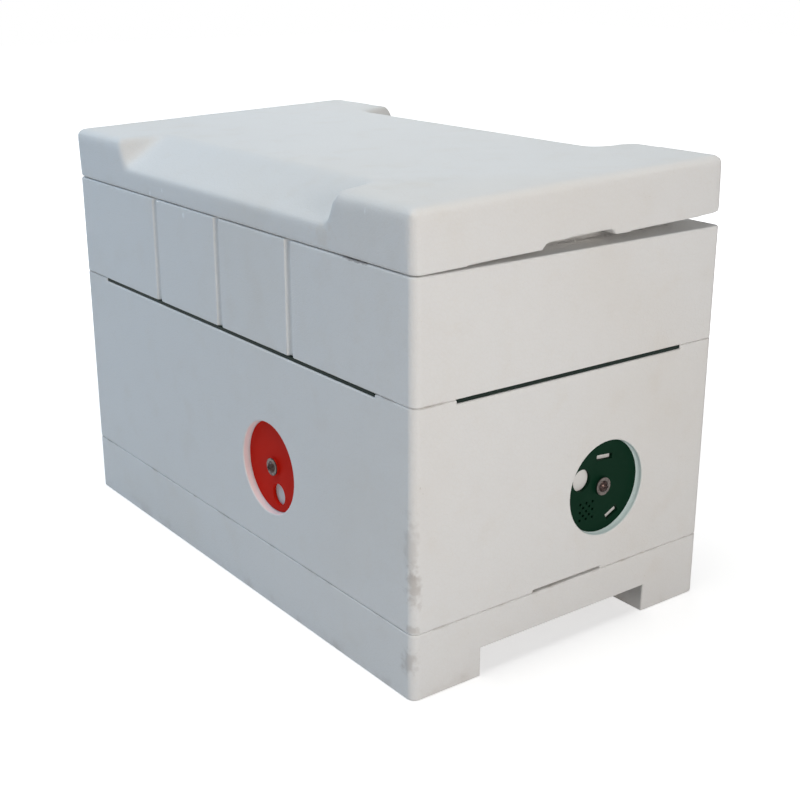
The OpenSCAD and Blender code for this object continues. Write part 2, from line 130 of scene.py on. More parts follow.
class Value:
    """A socket of a node tree that Python's operators work on, each by adding a Math node."""

    def __init__(self, shader: "Shader", socket: bpy.types.NodeSocket) -> None:
        """Wraps a socket.

        Args:
            shader: The tree that the socket belongs to.
            socket: An output socket of one of its nodes.
        """
        self.shader = shader
        self.socket = socket

    def maths(self, operation: str, *operands: "Operand") -> "Value":
        """Adds a Math node.

        Args:
            operation: The node's operation.
            operands: The values or numbers that it works on, in order.

        Returns:
            The node's result.
        """
        sockets = dict(enumerate(operands))
        return self.shader.node("ShaderNodeMath", {"operation": operation}, sockets)

    def __add__(self, other: "Operand") -> "Value":
        """This value plus another."""
        return self.maths("ADD", self, other)

    __radd__ = __add__

    def __sub__(self, other: "Operand") -> "Value":
        """This value less another."""
        return self.maths("SUBTRACT", self, other)

    def __rsub__(self, other: "Operand") -> "Value":
        """A number less this value."""
        return self.maths("SUBTRACT", other, self)

    def __mul__(self, other: "Operand") -> "Value":
        """This value times another."""
        return self.maths("MULTIPLY", self, other)

    __rmul__ = __mul__

    def __pow__(self, power: "Operand") -> "Value":
        """This value raised to a power."""
        return self.maths("POWER", self, power)

    def __abs__(self) -> "Value":
        """This value without its sign."""
        return self.maths("ABSOLUTE", self)

    def wave(self, pitch: float) -> "Value":
        """A wave over this value.

        Args:
            pitch: The distance from one crest to the next.

        Returns:
            The wave, from 0 to 1.
        """
        return self.maths("SINE", self * (math.tau / pitch)) * 0.5 + 0.5

    def lowest(self, other: "Operand") -> "Value":
        """The lower of this value and another."""
        return self.maths("MINIMUM", self, other)

    def highest(self, other: "Operand") -> "Value":
        """The higher of this value and another."""
        return self.maths("MAXIMUM", self, other)

    def step(self, start: float, end: float) -> "Value":
        """A smooth step over this value.

        Args:
            start: Where the step is 0.
            end: Where the step is 1, which may lie below the start.

        Returns:
            The step, from 0 to 1.
        """
        sockets = {"Value": self, "From Min": start, "From Max": end}
        return self.shader.node("ShaderNodeMapRange", {"interpolation_type": "SMOOTHSTEP"}, sockets)


Operand = Union[Value, float]
Input = Union[Value, float, Sequence[float]]


@dataclass(frozen=True)
class Clouds:
    """A cloudy pattern with values about 0.5.

    Attributes:
        scale: Clouds in a metre.
        detail: How many finer clouds lie on them.
    """

    scale: float
    detail: float


@dataclass(frozen=True)
class Patch:
    """What shows where a pattern is strong.

    Attributes:
        start: The pattern's value from which it shows.
        full: The pattern's value from which it has its full share.
        share: That share.
    """

    start: float
    full: float
    share: float

    def on(self, pattern: Value) -> Value:
        """The share at each place of a pattern."""
        return pattern.step(self.start, self.full) * self.share


class Shader:
    """A node tree of a material or a world, with the numbers of a colour mix's sockets."""

    MIX_A = 6
    MIX_B = 7
    MIX_RESULT = 2

    def __init__(self, tree: bpy.types.NodeTree) -> None:
        """Wraps a node tree.

        Args:
            tree: The tree.
        """
        self.tree = tree

    def node(
        self,
        kind: str,
        settings: Mapping[str, Any] | None = None,
        sockets: Mapping[str | int, Input] | None = None,
        outlet: str | int = 0,
    ) -> Value:
        """Adds a node, sets it up and feeds it.

        Args:
            kind: The node's type.
            settings: The node's own properties, set before its sockets.
            sockets: Values, links or colours for its inputs, by name or number.
            outlet: The output to return, by name or number.

        Returns:
            That output.
        """
        node = self.tree.nodes.new(kind)
        for name, setting in (settings or {}).items():
            setattr(node, name, setting)
        for name, value in (sockets or {}).items():
            self.feed(node.inputs[name], value)
        return Value(self, node.outputs[outlet])

    def feed(self, socket: bpy.types.NodeSocket, value: Input) -> None:
        """Links a value to a socket, or sets the socket to a number or a colour.

        Args:
            socket: The input socket.
            value: What it gets.
        """
        if isinstance(value, Value):
            self.tree.links.new(value.socket, socket)
        elif socket.type == "RGBA":
            socket.default_value = (*value, 1.0)
        else:
            socket.default_value = value

    def place(self, stretch: Point = EVEN) -> Value:
        """Object coordinates.

        Args:
            stretch: How much the pattern on them is squeezed along each axis.

        Returns:
            The coordinates as a vector.
        """
        place = self.node("ShaderNodeTexCoord", outlet="Object")
        if stretch == EVEN:
            return place
        return self.node("ShaderNodeMapping", sockets={"Vector": place, "Scale": stretch})

    def axes(self) -> tuple[Value, Value, Value]:
        """The three object coordinates as single values."""
        sockets = {0: self.place()}
        return tuple(self.node("ShaderNodeSeparateXYZ", None, sockets, axis) for axis in "XYZ")

    def noise(self, clouds: Clouds, stretch: Point = EVEN) -> Value:
        """A cloudy pattern on the object.

        Args:
            clouds: The pattern.
            stretch: How much it is squeezed along each axis.

        Returns:
            Values about 0.5.
        """
        place = self.place(stretch)
        sockets = {"Vector": place, "Scale": clouds.scale, "Detail": clouds.detail}
        return self.node("ShaderNodeTexNoise", sockets=sockets)

    def cells(self, size: float, feature: str) -> Value:
        """Distances in a pattern of irregular cells.

        Args:
            size: The width of a cell.
            feature: What is measured, such as DISTANCE_TO_EDGE.

        Returns:
            The distance, in cells.
        """
        sockets = {"Vector": self.place(), "Scale": 1 / size}
        return self.node("ShaderNodeTexVoronoi", {"feature": feature}, sockets, "Distance")

    def mix(self, share: Operand, first: Input, second: Input) -> Value:
        """A mix of two colours.

        Args:
            share: The share of the second colour.
            first: The colour at a share of 0.
            second: The colour at a share of 1.

        Returns:
            The mixed colour.
        """
        sockets = {"Factor": share, self.MIX_A: first, self.MIX_B: second}
        return self.node("ShaderNodeMix", {"data_type": "RGBA"}, sockets, self.MIX_RESULT)

    def spread(self, middle: Point, reach: Point) -> Value:
        """The distance from a place, in reaches.

        Args:
            middle: The place.
            reach: The distance along X, Y and Z that counts as 1.

        Returns:
            The distance, which is 0 at the place itself.
        """
        sockets = {"Vector": self.place(), "Location": middle, "Scale": reach}
        offset = self.node("ShaderNodeMapping", {"vector_type": "TEXTURE"}, sockets)
        return self.node("ShaderNodeVectorMath", {"operation": "LENGTH"}, {0: offset}, "Value")

    def seen(self) -> Value:
        """The part of the light path that the camera sees.

        Returns:
            1 for what it sees, straight on or in a gloss or a glass, and 0 for other light.
        """
        rays = ("Is Camera Ray", "Is Glossy Ray", "Is Transmission Ray")
        first, second, third = (self.node("ShaderNodeLightPath", outlet=ray) for ray in rays)
        return first.highest(second).highest(third)

    def bump(self, height: Value, distance: float) -> Value:
        """A relief on the surface.

        Args:
            height: The relief, from 0 to 1.
            distance: The depth of the relief.

        Returns:
            The bumped normal.
        """
        return self.node("ShaderNodeBump", sockets={"Height": height, "Distance": distance})


class Surface(Shader):
    """A material's node tree that ends in one Principled BSDF."""

    def __init__(self, name: str) -> None:
        """Makes an empty material.

        Args:
            name: The material's name.
        """
        self.material = bpy.data.materials.new(name)
        self.material.use_nodes = True
        super().__init__(self.material.node_tree)
        self.tree.nodes.clear()
        output = self.tree.nodes.new("ShaderNodeOutputMaterial")
        self.bsdf = self.tree.nodes.new("ShaderNodeBsdfPrincipled")
        self.tree.links.new(self.bsdf.outputs["BSDF"], output.inputs["Surface"])

    def coat(self, **sockets: Input) -> None:
        """Feeds the surface.

        Args:
            sockets: Its inputs, with underscores for the spaces in their names.
        """
        for name, value in sockets.items():
            self.feed(self.bsdf.inputs[name.replace("_", " ")], value)


@dataclass(frozen=True)
class Finish:
    """A finish that paints one material.

    Attributes:
        name: The material's name.
        slot: The record's slot that it belongs to. It is not used.
    """

    name: str
    slot: Slot

    def paint(self, shader: Surface) -> None:
        """Builds the finish in a material's node tree."""
        raise NotImplementedError


@lru_cache(maxsize=None)
def material_of(finish: Finish) -> bpy.types.Material:
    """Paints a finish once.

    Args:
        finish: The finish.

    Returns:
        Its material, which every piece of that finish shares.
    """
    shader = Surface(finish.name)
    finish.paint(shader)
    return shader.material


def joint_place(name: str) -> Point:
    """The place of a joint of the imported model.

    Args:
        name: The joint's name.

    Returns:
        Its place.
    """
    return next(tuple(joint["pos_m"]) for joint in frame["joints"] if joint["name"] == name)


@dataclass(frozen=True)
class EntrancePlace:
    """Where an entrance disc sits, and the colour bleed from the disc that is painted on the foam
    round it.

    Attributes:
        centre: The middle of the screw, on the wall's face.
        across: The two axes of the wall's face, as numbers of X, Y and Z.
        painted_bounce: The colour painted on the recess wall beside the disc, as painted colour
            bleed of light that the disc reflects.
        rim: The radius of the recess.
        within: How far inside the rim the painted colour bleed fades in, from none to full.
        beyond: How far outside the rim it has faded out.
        lip: The depth from which it is full.
        root: The depths over which it ends, from none to full.
    """

    centre: Point
    across: tuple[int, int]
    # The painted colour bleed from the disc on the recess wall, standing in for light that the disc
    # reflects.
    painted_bounce: Colour
    rim: float = 38.5 * MM
    within: Span = (0.7 * MM, 0.3 * MM)
    beyond: float = 1.6 * MM
    lip: float = 1.5 * MM
    root: Span = (20 * MM, 15 * MM)

    def radius(self, shader: Shader) -> Value:
        """The distance from the screw's axis.

        Args:
            shader: The node tree.

        Returns:
            The distance.
        """
        axes = shader.axes()
        offsets = [axes[i] - self.centre[i] for i in self.across]
        return (offsets[0] * offsets[0] + offsets[1] * offsets[1]) ** 0.5

    def wall(self, shader: Shader) -> Value:
        """The wall of the recess.

        Args:
            shader: The node tree.

        Returns:
            1 on the wall, and 0 on the recess's floor and everywhere else.
        """
        through = next(axis for axis in range(3) if axis not in self.across)
        depth = abs(shader.axes()[through] - self.centre[through])
        radius = self.radius(shader)
        start, full = self.within
        inside = radius.step(self.rim - start, self.rim - full)
        outside = radius.step(self.rim + self.beyond, self.rim)
        return inside * outside * depth.step(0.0, self.lip) * depth.step(*self.root)


# The third value of each is the colour bleed painted on its recess wall.
GREEN_PLACE = EntrancePlace(joint_place("green_disc_turn"), (0, 2), (0.60, 0.76, 0.75))
RED_PLACE = EntrancePlace(joint_place("red_disc_turn"), (1, 2), (0.88, 0.72, 0.72))


@dataclass(frozen=True)
class Mark:
    """A mark on the foam, which fades from its core to its end. Marks of use, painted highlights
    and painted shade are all made as marks.

    Attributes:
        middle: The middle of the mark.
        reach: How far it spreads along X, Y and Z.
        colour: Its colour.
        share: How much of that colour it lays on the foam.
        fray: How ragged its edge is.
    """

    middle: Point
    reach: Point
    colour: Colour
    share: float
    fray: float = 2.2

    FADE = (1.0, 0.2)

    def cover(self, shader: Shader, clouds: Value) -> Value:
        """The share of the mark's colour, frayed by clouds."""
        frayed = shader.spread(self.middle, self.reach) + (clouds - 0.5) * self.fray
        return frayed.step(*self.FADE) * self.share


SMUDGE: Colour = (0.33, 0.28, 0.24)
# Painted shade in the lid seam near the front corner.
PAINTED_SEAM_SHADE: Colour = (0.09, 0.06, 0.05)
STAIN: Colour = (0.66, 0.58, 0.48)
# Pale torn foam for chips, and the painted highlight on the feeder's grooves.
TORN_FOAM_AND_HIGHLIGHT: Colour = (0.95, 0.96, 0.96)


@dataclass(frozen=True)
class BeadFoam(Finish):
    """Moulded bead foam with a faint pattern of beads, yellowed patches, marks of use and painted
    light: colour bleed from the entrance discs, highlights in grooves and shade in a seam.

    Attributes:
        colour: The clean foam.
        stain: The yellowed foam.
        soil: The brown soil in corners and seams.
        bead: The width of a bead.
        seams: The heights of the seams that hold soil.
        entrances: The entrances whose recess walls get painted colour bleed from their discs.
        marks: The marks of use, painted highlights and painted shade.
    """

    colour: Colour = (0.80, 0.80, 0.79)
    stain: Colour = (0.74, 0.70, 0.64)
    soil: Colour = (0.30, 0.24, 0.19)
    bead: float = 3.6 * MM
    seams: tuple[float, ...] = ()
    entrances: tuple[EntrancePlace, ...] = ()
    marks: tuple[Mark, ...] = ()

    # Patterns: wide clouds, blotches of a few centimetres, the grit of the skin, ragged edges.
    WIDE = Clouds(5.0, 6.0)
    MOTTLE = Clouds(38.0, 5.0)
    GRIT = Clouds(420.0, 3.0)
    FRAY = Clouds(150.0, 4.0)
    # Stain in the wide clouds, in the blotches and between the beads, and the share of painted
    # colour bleed from the entrance discs on their recess walls.
    YELLOWED = Patch(0.46, 0.72, 0.30)
    BLOTCHED = Patch(0.50, 0.78, 0.20)
    BEAD_GAP = 0.10
    GAP_STAIN = 0.12
    PAINTED_BOUNCE_SHARE = 0.75
    # Soil splashed up from the ground, held in the seams and caught in specks.
    SPLASHED = Patch(0.45, 0.70, 0.22)
    SPLASH_HEIGHT = 14 * MM
    HELD = Patch(0.46, 0.66, 0.30)
    SEAM_REACH = (1.8 * MM, 0.3 * MM)
    CAUGHT = Patch(0.50, 0.68, 0.25)
    SPECKS = (0.70, 0.78)
    MOST_SOIL = 0.7
    # The skin: the shares of its beads, grit and blotches in the relief, and how it shines.
    BEAD_RELIEF = 0.5
    GRIT_RELIEF = 0.3
    BLOTCH_RELIEF = 0.4
    RELIEF = 0.12 * MM
    ROUGHNESS = 0.62
    ROUGHER = 0.2
    SHINE = 0.1

    def paint(self, shader: Surface) -> None:
        """Builds the finish.

        Args:
            shader: The material's node tree.
        """
        beads = shader.cells(self.bead, "DISTANCE_TO_EDGE").step(0.0, self.BEAD_GAP)
        wide = shader.noise(self.WIDE)
        mottle = shader.noise(self.MOTTLE)
        grit = shader.noise(self.GRIT)
        fray = shader.noise(self.FRAY)

        colour = shader.mix((1 - beads) * self.GAP_STAIN, self.colour, self.stain)
        stained = self.YELLOWED.on(wide) + self.BLOTCHED.on(mottle)
        colour = shader.mix(stained, colour, self.stain)
        # Painted colour bleed: each disc's colour painted onto its recess wall.
        for entrance in self.entrances:
            colour = shader.mix(entrance.wall(shader) * self.PAINTED_BOUNCE_SHARE, colour, entrance.painted_bounce)
        colour = shader.mix(self.soiling(shader, mottle, grit), colour, self.soil)
        # Marks of use, painted highlights on the grooves and painted shade in a seam.
        for mark in self.marks:
            colour = shader.mix(mark.cover(shader, fray), colour, mark.colour)

        relief = beads * self.BEAD_RELIEF + grit * self.GRIT_RELIEF + mottle * self.BLOTCH_RELIEF
        shader.coat(
            Base_Color=colour,
            Roughness=self.ROUGHNESS + mottle * self.ROUGHER,
            Specular_IOR_Level=self.SHINE,
            Normal=shader.bump(relief, self.RELIEF),
        )

    def soiling(self, shader: Shader, mottle: Value, grit: Value) -> Value:
        """Soil along the seams, above the ground and in specks.

        Args:
            shader: The node tree.
            mottle: A middling cloudy pattern.
            grit: A fine cloudy pattern.

        Returns:
            The share of soil.
        """
        height = shader.axes()[2]
        soil = height.step(self.SPLASH_HEIGHT, 0.0) * self.SPLASHED.on(mottle)
        for seam in self.seams:
            soil = soil + abs(height - seam).step(*self.SEAM_REACH) * self.HELD.on(mottle)
        specks = grit.step(*self.SPECKS) * self.CAUGHT.on(mottle)
        return (soil + specks).lowest(self.MOST_SOIL)


@dataclass(frozen=True)
class DiscPlastic(Finish):
    """Moulded plastic of an entrance disc, scuffed in rings by turning.

    Attributes:
        colour: The plastic.
        dust: Pale dust that lies on it.
        place: The entrance that the disc turns in.
        ring: The distance from one scuffed ring to the next.
    """

    colour: Colour
    dust: Colour
    place: EntrancePlace
    ring: float = 1.4 * MM

    DUST = Clouds(60.0, 5.0)
    GRIT = Clouds(1500.0, 2.0)
    # Dust that lies all over, and dust that is packed along the disc's rim.
    LYING = Patch(0.55, 0.80, 0.03)
    PACKED = Patch(0.4, 0.7, 0.03)
    RIM = (33 * MM, 38 * MM)
    RING_RELIEF = 0.25
    GRIT_RELIEF = 0.75
    RELIEF = 0.02 * MM
    ROUGHNESS = 0.40
    DUST_ROUGHER = 0.16
    RING_ROUGHER = 0.04
    SHINE = 0.04

    def paint(self, shader: Surface) -> None:
        """Builds the finish.

        Args:
            shader: The material's node tree.
        """
        radius = self.place.radius(shader)
        rings = radius.wave(self.ring)
        clouds = shader.noise(self.DUST)
        grit = shader.noise(self.GRIT)
        dusty = self.LYING.on(clouds) + radius.step(*self.RIM) * self.PACKED.on(clouds)
        rougher = clouds * self.DUST_ROUGHER + rings * self.RING_ROUGHER
        relief = rings * self.RING_RELIEF + grit * self.GRIT_RELIEF
        shader.coat(
            Base_Color=shader.mix(dusty, self.colour, self.dust),
            Roughness=self.ROUGHNESS + rougher,
            Specular_IOR_Level=self.SHINE,
            Normal=shader.bump(relief, self.RELIEF),
        )


@dataclass(frozen=True)
class PlainPlastic(Finish):
    """Moulded plastic with a fine texture and a little dust.

    Attributes:
        colour: The plastic.
        dust: Pale dust that lies on it.
        roughness: How matt it is about the middle of its range.
        clear: How much light goes through it.
        shine: How strongly it mirrors.
    """

    colour: Colour
    dust: Colour
    roughness: float = 0.45
    clear: float = 0.0
    shine: float = 0.5

    DUST = Clouds(30.0, 5.0)
    GRIT = Clouds(1200.0, 2.0)
    DUSTY = Patch(0.45, 0.8, 0.18)
    CLEANER = 0.07
    ROUGHER = 0.15
    RELIEF = 0.03 * MM

    def paint(self, shader: Surface) -> None:
        """Builds the finish.

        Args:
            shader: The material's node tree.
        """
        clouds = shader.noise(self.DUST)
        shader.coat(
            Base_Color=shader.mix(self.DUSTY.on(clouds), self.colour, self.dust),
            Roughness=self.roughness - self.CLEANER + clouds * self.ROUGHER,
            Transmission_Weight=self.clear,
            Specular_IOR_Level=self.shine,
            Normal=shader.bump(shader.noise(self.GRIT), self.RELIEF),
        )


@dataclass(frozen=True)
class ZincSteel(Finish):
    """Zinc-plated steel that has dulled in patches.

    Attributes:
        colour: The bright plate.
        dull: The dulled plate.
        roughness: How matt the bright plate is.
    """

    colour: Colour = (0.15, 0.13, 0.12)
    dull: Colour = (0.09, 0.075, 0.07)
    roughness: float = 0.38

    PATCHES = Clouds(420.0, 4.0)
    GRIT = Clouds(4000.0, 2.0)
    DULLED = Patch(0.42, 0.66, 1.0)
    ROUGHER = 0.2
    RELIEF = 0.01 * MM

    def paint(self, shader: Surface) -> None:
        """Builds the finish.

        Args:
            shader: The material's node tree.
        """
        worn = self.DULLED.on(shader.noise(self.PATCHES))
        shader.coat(
            Base_Color=shader.mix(worn, self.colour, self.dull),
            Metallic=1.0,
            Roughness=self.roughness + worn * self.ROUGHER,
            Normal=shader.bump(shader.noise(self.GRIT), self.RELIEF),
        )


@dataclass(frozen=True)
class SawnWood(Finish):
    """Planed softwood or plywood with grain.

    Attributes:
        grain: The way that the fibres run.
        pale: The early wood.
        dark: The late wood.
        ring: The width of a growth ring.
    """

    grain: Grain
    pale: Colour = (0.70, 0.50, 0.29)
    dark: Colour = (0.47, 0.28, 0.12)
    ring: float = 4.5 * MM

    SWAY = Clouds(22.0, 3.0)
    FIBRE = Clouds(700.0, 3.0)
    # The way from the heart of the log, along X and Z, and how far the rings sway from it.
    HEART = (0.8, 0.6)
    SWAY_REACH = 20 * MM
    # The late wood is a narrow dark line of each ring, which stands lower and smoother.
    LATE_POWER = 3.0
    LATE_SHARE = 0.55
    LATE_RELIEF = 0.3
    LATE_SMOOTHER = 0.1
    FIBROUS = Patch(0.5, 0.8, 0.25)
    FIBRE_RELIEF = 0.7
    RELIEF = 0.10 * MM
    ROUGHNESS = 0.62

    def paint(self, shader: Surface) -> None:
        """Builds the finish.

        Args:
            shader: The material's node tree.
        """
        sway = shader.noise(self.SWAY, self.grain.value)
        fibre = shader.noise(self.FIBRE, self.grain.value)
        x, _, z = shader.axes()
        outward = x * self.HEART[0] + z * self.HEART[1] + sway * self.SWAY_REACH
        late = outward.wave(self.ring) ** self.LATE_POWER
        darkened = late * self.LATE_SHARE + self.FIBROUS.on(fibre)
        relief = fibre * self.FIBRE_RELIEF + (1 - late) * self.LATE_RELIEF
        shader.coat(
            Base_Color=shader.mix(darkened, self.pale, self.dark),
            Roughness=self.ROUGHNESS - late * self.LATE_SMOOTHER,
            Normal=shader.bump(relief, self.RELIEF),
        )


@dataclass(frozen=True)
class PressedWax(Finish):
    """A beeswax sheet that is pressed with the bases of comb cells.

    Attributes:
        colour: The wax.
        bloom: The pale bloom on it.
        cell: The width of a comb cell.
    """

    colour: Colour = (0.74, 0.47, 0.10)
    bloom: Colour = (0.86, 0.70, 0.38)
    cell: float = 5.4 * MM

    BLOOM = Clouds(18.0, 5.0)
    GRAIN = Clouds(900.0, 3.0)
    BLOOMED = Patch(0.4, 0.8, 0.4)
    GLOW = 0.15
    GLOW_REACH = spot(4, 2, 1)
    RELIEF = 0.04 * MM
    ROUGHNESS = 0.45
    ROUGHER = 0.1

    def paint(self, shader: Surface) -> None:
        """Builds the finish.

        Args:
            shader: The material's node tree.
        """
        clouds = shader.noise(self.BLOOM)
        shader.coat(
            Base_Color=shader.mix(self.BLOOMED.on(clouds), self.colour, self.bloom),
            Roughness=self.ROUGHNESS + clouds * self.ROUGHER,
            Subsurface_Weight=self.GLOW,
            Subsurface_Radius=self.GLOW_REACH,
            Normal=shader.bump(shader.noise(self.GRAIN), self.RELIEF),
        )


SEAMS = tuple(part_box(node)[0].z for node in ("brood_box", "feeder_box"))
FLOOR_FOAM = BeadFoam(
    "floor_foam",
    Slot.FOAM,
    seams=SEAMS,
    marks=(Mark(spot(-150, -256, 31), spot(8, 11, 13), SMUDGE, 0.34),),
)
BROOD_FOAM = BeadFoam(
    "brood_foam",
    Slot.FOAM,
    seams=SEAMS,
    entrances=(GREEN_PLACE, RED_PLACE),
    marks=(
        Mark(spot(-149, -259.5, 91), spot(9, 9, 21), SMUDGE, 0.40),
        Mark(spot(-149.5, -258, 120), spot(7, 8, 36), SMUDGE, 0.20),
        Mark(spot(-149, -258.5, 57.5), spot(6, 6, 5), SMUDGE, 0.35),
    ),
)
# The feeder's upright grooves, in millimetres, each with a painted highlight that stands in for
# light on the groove's lit flank. The highlight runs from end to end, so the reach of each mark
# goes past both ends.
FLUTE_PITCH = 107
FLUTE_HIGHLIGHT_REACH = spot(4.5, 6.5, 400)
FLUTE_HIGHLIGHTS = tuple(
    Mark(spot(wall, FLUTE_PITCH * place, 268.5), FLUTE_HIGHLIGHT_REACH, TORN_FOAM_AND_HIGHLIGHT, 0.9, fray=0.25)
    for wall in (-150, 150)
    for place in (-1, 0, 1)
)
FEEDER_FOAM = BeadFoam(
    "feeder_foam",
    Slot.FOAM,
    seams=SEAMS,
    marks=(
        *FLUTE_HIGHLIGHTS,
        Mark(spot(-150, 54.4, 307.6), spot(4, 2.4, 3.2), TORN_FOAM_AND_HIGHLIGHT, 0.8),
        # Painted shade along the lid seam near the front corner.
        Mark(spot(-150, -193, 313.4), spot(5, 16, 1.1), PAINTED_SEAM_SHADE, 0.5, fray=3.2),
    ),
)
LID_FOAM = BeadFoam(
    "lid_foam",
    Slot.FOAM,
    marks=(
        Mark(spot(-150, 113.6, 317), spot(4, 2.6, 3.4), TORN_FOAM_AND_HIGHLIGHT, 0.8),
        Mark(spot(-150, 90.3, 322.6), spot(4, 2.4, 3.4), TORN_FOAM_AND_HIGHLIGHT, 0.8),
        Mark(spot(-150, -208.3, 349.8), spot(4, 2, 4), TORN_FOAM_AND_HIGHLIGHT, 0.7),
        # Painted shade along the lid seam near the front corner.
        Mark(spot(-150, -190, 314.1), spot(5, 14, 0.9), PAINTED_SEAM_SHADE, 0.4, fray=3.2),
        Mark(spot(-150, -156, 325), spot(5, 17, 16), STAIN, 0.2),
    ),
)
RED = DiscPlastic(
    "red_disc_plastic", Slot.RED_PLASTIC, (0.63, 0.014, 0.005), (0.80, 0.42, 0.36), RED_PLACE
)
GREEN = DiscPlastic(
    "green_disc_plastic", Slot.GREEN_PLASTIC, (0.002, 0.022, 0.010), (0.14, 0.20, 0.17), GREEN_PLACE
)
ZINC = ZincSteel("zinc_washer", Slot.STEEL)
BLUED = ZincSteel("dark_screw", Slot.STEEL, (0.06, 0.04, 0.036), (0.035, 0.024, 0.022), 0.18)
ANCHOR_PLASTIC = PlainPlastic(
    "anchor_plastic", Slot.ANCHOR, colour=(0.74, 0.71, 0.62), dust=(0.60, 0.56, 0.48)
)
RAIL_PLASTIC = PlainPlastic(
    "rail_plastic", Slot.RAIL, colour=(0.46, 0.47, 0.48), dust=(0.62, 0.60, 0.56)
)
GRILLE_PLASTIC = PlainPlastic(
    "grille_plastic", Slot.GRILLE, colour=(0.05, 0.05, 0.052), dust=(0.22, 0.21, 0.19)
)
EXCLUDER_PLASTIC = PlainPlastic(
    "excluder_plastic",
    Slot.EXCLUDER,
    colour=(0.005, 0.014, 0.010),
    dust=(0.03, 0.04, 0.035),
    roughness=0.5,
    shine=0.12,
)
GUARD_PLASTIC = PlainPlastic(
    "guard_plastic",
    Slot.GUARD,
    colour=(0.80, 0.83, 0.84),
    dust=(0.70, 0.70, 0.66),
    roughness=0.3,
    clear=0.35,
)
PLYWOOD = SawnWood(
    "divider_plywood", Slot.BOARD, Grain.ALONG, (0.62, 0.44, 0.25), (0.44, 0.27, 0.13), 9 * MM
)
LONG_TIMBER = SawnWood("timber_along", Slot.TIMBER, Grain.ALONG)
UPRIGHT_TIMBER = SawnWood("timber_upright", Slot.TIMBER, Grain.UPRIGHT)
WAX = PressedWax("pressed_wax", Slot.WAX)

# How close points count as one, how far a flat face may bend, and what counts as a sharp edge.
WELD = 0.002 * MM
FLAT = math.radians(0.4)
SHARP = math.radians(35.0)
ROUND_SEGMENTS = 3


def dress(node: str, finish: Finish) -> None:
    """Gives a CAD node a finish.

    Args:
        node: The node's name.
        finish: The finish that it gets.
    """
    piece = frame["nodes"][node]
    if not piece.material_slots:
        piece.data.materials.append(None)
    for slot in piece.material_slots:
        slot.material = material_of(finish)
    log.info("dressed %s in %s", node, finish.name)


def merged_copy(node: str) -> bmesh.types.BMesh:
    """A copy of a CAD node's mesh with its triangles joined into flat faces.

    Args:
        node: The node's name.

    Returns:
        The copy as an editable mesh.
    """
    mesh = bmesh.new()
    mesh.from_mesh(frame["nodes"][node].data)
    bmesh.ops.remove_doubles(mesh, verts=mesh.verts, dist=WELD)
    bmesh.ops.dissolve_limit(
        mesh,
        angle_limit=FLAT,
        use_dissolve_boundaries=False,
        verts=mesh.verts,
        edges=mesh.edges,
    )
    return mesh


def round_edges(mesh: bmesh.types.BMesh, radius: float, clamp: bool) -> None:
    """Rounds the sharp outward edges of a mesh.

    Args:
        mesh: The mesh.
        radius: The width of the rounding.
        clamp: Whether the rounding narrows on a mesh that has short edges. Where it doesn't, the
            edges beside a facet that is narrower than the rounding stay sharp.
    """
    edges = [
        edge
        for edge in mesh.edges
        if edge.is_manifold and edge.is_convex and edge.calc_face_angle(0.0) > SHARP
    ]
    if not clamp:
        edges = [
            edge
            for edge in edges
            if min(face.calc_area() for face in edge.link_faces) > radius * edge.calc_length()
        ]
    bmesh.ops.bevel(
        mesh,
        geom=edges,
        offset=radius,
        offset_type="OFFSET",
        segments=ROUND_SEGMENTS,
        profile=0.5,
        affect="EDGES",
        clamp_overlap=clamp,
        material=-1,
    )


def add_piece(
    mesh: bmesh.types.BMesh, name: str, node: str, finish: Finish, body: Body, smooth: bool = True
) -> None:
    """Turns a mesh into a piece that rides on a body.

    Args:
        mesh: The mesh, which is freed.
        name: The piece's name.
        node: The CAD node that it stands for.
        finish: The finish that it gets.
        body: The body that it moves with.
        smooth: Whether its faces are shaded as one smooth form.
    """
    for face in mesh.faces:
        face.smooth = smooth
    data = bpy.data.meshes.new(name)
    mesh.to_mesh(data)
    mesh.free()
    data.materials.append(material_of(finish))
    piece = bpy.data.objects.new(name, data)
    bpy.context.scene.collection.objects.link(piece)
    if smooth:
        piece.modifiers.new("even_shading", "WEIGHTED_NORMAL").keep_sharp = True
    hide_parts(node)
    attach(piece, body.value)
    log.info("made %s with %d faces", name, len(data.polygons))


def soften(node: str, finish: Finish, body: Body, radius: float, clamp: bool = True) -> None:
    """Replaces a CAD node with a copy whose outward edges are rounded.

    Args:
        node: The node's name.
        finish: The finish that the copy gets.
        body: The body that it moves with.
        radius: The width of the rounding.
        clamp: Whether the rounding narrows on a node that has short edges.
    """
    mesh = merged_copy(node)
    round_edges(mesh, radius, clamp)
    add_piece(mesh, f"{node}_softened", node, finish, body)


@dataclass
class FoamStack:
    """The floor, the brood box and the feeder box, moulded in bead foam.

    Attributes:
        edge: The rounding of the moulded edges.
    """

    edge: float = 1.5 * MM

    def build(self) -> None:
        """Makes the three pieces."""
        soften("floor_tray", FLOOR_FOAM, Body.FLOOR, self.edge, clamp=False)
        soften("brood_box", BROOD_FOAM, Body.BROOD, self.edge, clamp=False)
        soften("feeder_box", FEEDER_FOAM, Body.FEEDER, self.edge, clamp=False)


@dataclass(frozen=True)
class Dent:
    """A shallow dent in the foam.

    Attributes:
        place: The middle of the dent.
        radius: How far it reaches.
        depth: How deep it is.
    """

    place: Point
    radius: float
    depth: float

    def press(self, mesh: bmesh.types.BMesh) -> None:
        """Pushes a mesh in along its normals.

        Args:
            mesh: The mesh.
        """
        middle = Vector(self.place)
        for vert in mesh.verts:
            reach = (vert.co - middle).length / self.radius
            if reach < 1:
                vert.co -= vert.normal * self.depth * (1 - reach * reach) ** 2


